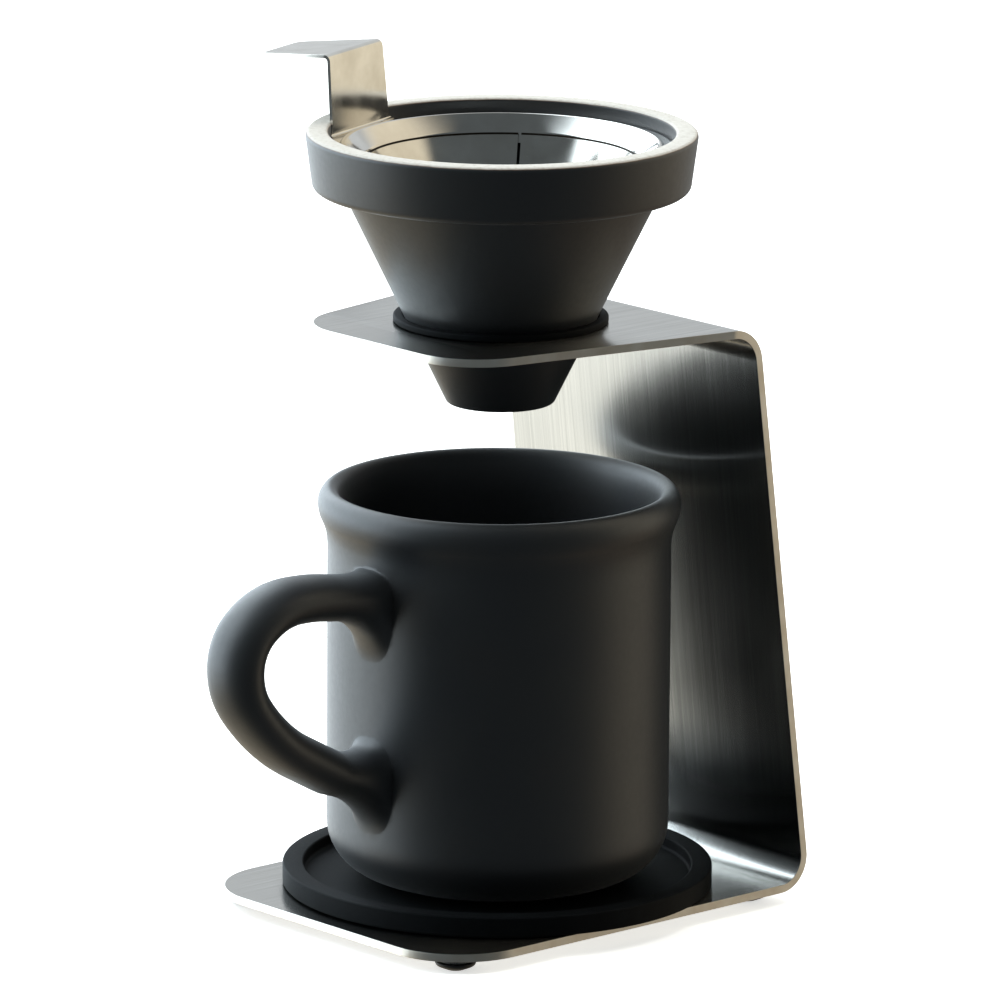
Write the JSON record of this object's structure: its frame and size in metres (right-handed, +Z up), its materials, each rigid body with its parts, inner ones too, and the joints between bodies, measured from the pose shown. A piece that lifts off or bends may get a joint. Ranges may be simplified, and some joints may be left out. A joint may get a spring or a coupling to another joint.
{
  "type": "pour-over coffee stand",
  "caption": "Bent steel stand that holds a ceramic dripper with a lift-out steel filter above a handled mug on a round mat.",
  "frame": {"origin": "floor level, at the middle of the whole set's footprint with the mug's handle and the filter's tab", "axes": "+Z up; -Y towards the stand's open front, where the mug's handle points; +X to the right seen from the front"},
  "size_m": [0.1136, 0.1506, 0.2095],
  "materials": {
    "brushed_steel": "fine lengthwise brushed stainless sheet with raw cut edges",
    "polished_steel": "mirror-polished thin stainless sheet",
    "screen_steel": "perforated and woven stainless screen",
    "glaze": "satin matt black glaze on stoneware",
    "silicone": "fine matt moulded black silicone",
    "rubber": "smooth black rubber",
    "adhesive": "thin foam adhesive disc"
  },
  "bodies": {
    "stand": {"stand_frame": "brushed_steel", "foot_front_left": "rubber", "foot_front_right": "rubber", "foot_rear_left": "rubber", "foot_rear_right": "rubber", "foot_pad_front_left": "adhesive", "foot_pad_front_right": "adhesive", "foot_pad_rear_left": "adhesive", "foot_pad_rear_right": "adhesive"},
    "seat_ring": {"seat_ring": "silicone"},
    "dripper": {"dripper": "glaze"},
    "filter": {"filter_rim": "polished_steel", "filter_funnel": "polished_steel", "filter_screen_outer": "screen_steel", "filter_screen_inner": "screen_steel", "filter_base": "polished_steel", "filter_tab": "polished_steel"},
    "mat": {"mug_mat": "silicone"},
    "mug": {"mug": "glaze"}
  },
  "joints": [
    {"name": "dripper_turn", "type": "hinge", "parent": "stand", "child": "seat_ring", "pos_m": [0.00428, 0.01565, 0.1461], "axis": [0, 0, 1], "continuous": true},
    {"name": "dripper_lift", "type": "slide", "parent": "seat_ring", "child": "dripper", "axis": [0, 0, 1], "range_m": [0, 0.08]},
    {"name": "filter_lift", "type": "slide", "parent": "dripper", "child": "filter", "axis": [0, 0, 1], "range_m": [0, 0.075]},
    {"name": "mat_slide", "type": "slide", "parent": "stand", "child": "mat", "axis": [0, -1, 0], "range_m": [0, 0.112]},
    {"name": "mug_lift", "type": "slide", "parent": "mat", "child": "mug", "axis": [0, 0, 1], "range_m": [0, 0.012]}
  ]
}
